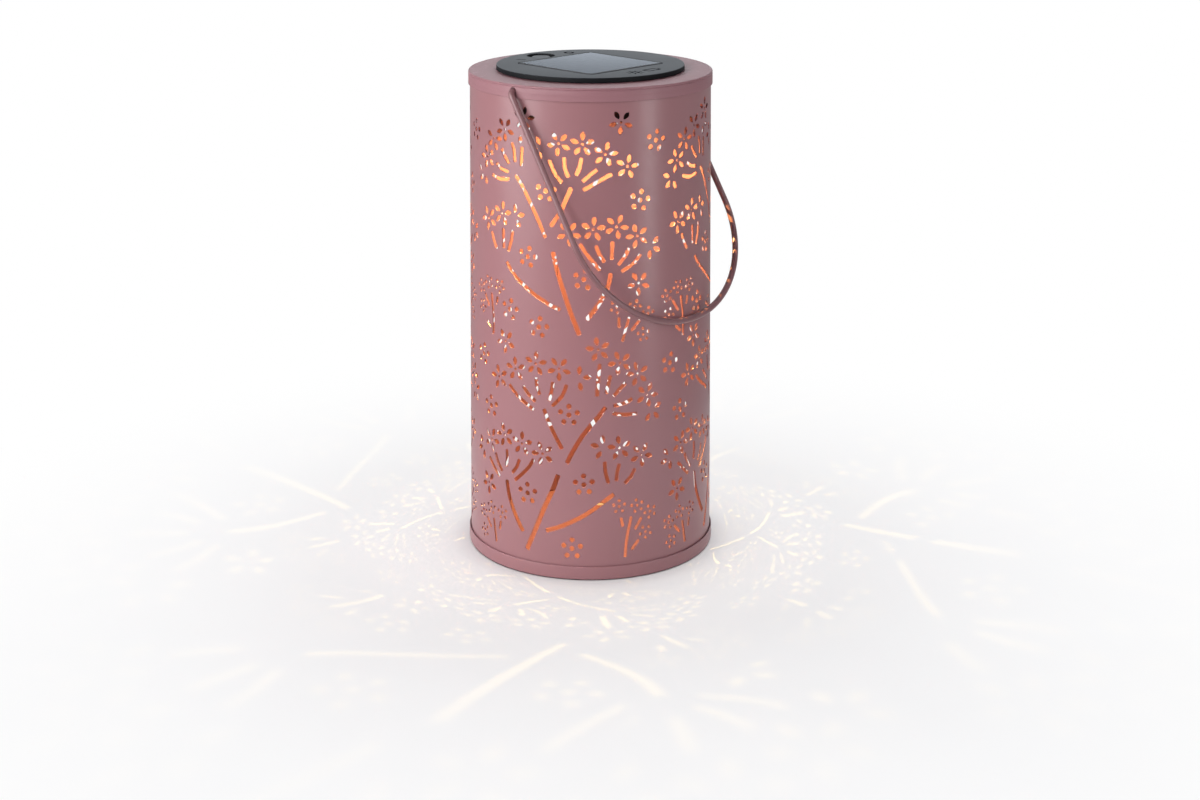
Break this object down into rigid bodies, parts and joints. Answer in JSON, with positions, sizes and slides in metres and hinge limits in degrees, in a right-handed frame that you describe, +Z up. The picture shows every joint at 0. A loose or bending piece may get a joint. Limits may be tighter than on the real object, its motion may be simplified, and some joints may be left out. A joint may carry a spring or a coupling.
{
  "type": "solar garden light",
  "caption": "Cylindrical punched-metal solar lantern with a wire bail, a base plate and a lift-out lid module holding a square panel, a push button and a downward lamp.",
  "frame": {"origin": "centre of the base plate's underside", "axes": "+Z up along the tube, X along the bail's hinge axis, -Y towards the side the bail rests on"},
  "size_m": [0.1299, 0.1242, 0.2387],
  "materials": {
    "tube_paint": "satin dusty rose powder coat",
    "lid_paint": "satin dusty rose powder coat",
    "base_paint": "satin dusty rose powder coat",
    "wire_coat": "smooth powder-coated wire",
    "cap_plastic": "fine grained black",
    "housing_plastic": "fine grained black",
    "door_plastic": "fine grained black",
    "solar_cell": "dark blue cell with fine grid lines",
    "panel_window": "clear cast cover",
    "foam_tape": "white foam",
    "module_seal": "matte",
    "led_seal": "matte",
    "door_seal": "matte",
    "button_plastic": "light grey",
    "screw_steel": "zinc plated",
    "spring_steel": "nickel plated",
    "nickel": "nickel plated",
    "circuit_board": "green solder mask",
    "chip_black": "moulded epoxy",
    "ferrite": "ferrite with copper winding",
    "reflector_white": "smooth white",
    "led_lens": "warm clear epoxy",
    "switch_body": "black moulding",
    "battery_sleeve": "plain green shrink sleeve",
    "wire_red": "insulated wire",
    "wire_black": "insulated wire",
    "wire_grey": "insulated wire"
  },
  "bodies": {
    "body": {"body_shell": "tube_paint", "lid_ring": "lid_paint", "base_plate": "base_paint"},
    "handle": {"handle": "wire_coat"},
    "module": {"top_cover": "cap_plastic", "solar_cell": "solar_cell", "panel_window": "panel_window", "panel_tape": "foam_tape", "module_gasket": "module_seal", "module_housing": "housing_plastic", "housing_screw_1": "screw_steel", "housing_screw_2": "screw_steel", "housing_screw_3": "screw_steel", "housing_screw_4": "screw_steel", "circuit_board": "circuit_board", "charge_chip": "chip_black", "boost_coil": "ferrite", "led_lamp": "led_lens", "led_reflector": "reflector_white", "led_seal": "led_seal", "push_switch": "switch_body", "battery_cell": "battery_sleeve", "contact_plate": "nickel", "contact_spring": "spring_steel", "solar_wire_red": "wire_red", "solar_wire_black": "wire_black", "battery_wire_red": "wire_red", "battery_wire_black": "wire_black", "switch_wire": "wire_grey"},
    "push_button": {"push_button": "button_plastic"},
    "battery_door": {"battery_door": "door_plastic", "door_gasket": "door_seal", "door_screw_1": "screw_steel", "door_screw_2": "screw_steel"}
  },
  "joints": [
    {"name": "handle_swing", "type": "hinge", "parent": "body", "child": "handle", "pos_m": [0, 0, 0.2328], "axis": [-1, 0, 0], "range_deg": [0, 302.4]},
    {"name": "module_lift", "type": "slide", "parent": "body", "child": "module", "axis": [0, 0, 1], "range_m": [0, 0.06]},
    {"name": "button_press", "type": "slide", "parent": "module", "child": "push_button", "axis": [0, 0, -1], "range_m": [0, 0.0008], "stiffness_N_per_m": 800, "springref_m": -0.001},
    {"name": "battery_door_slide", "type": "slide", "parent": "module", "child": "battery_door", "axis": [0, 0, -1], "range_m": [0, 0.025]}
  ]
}
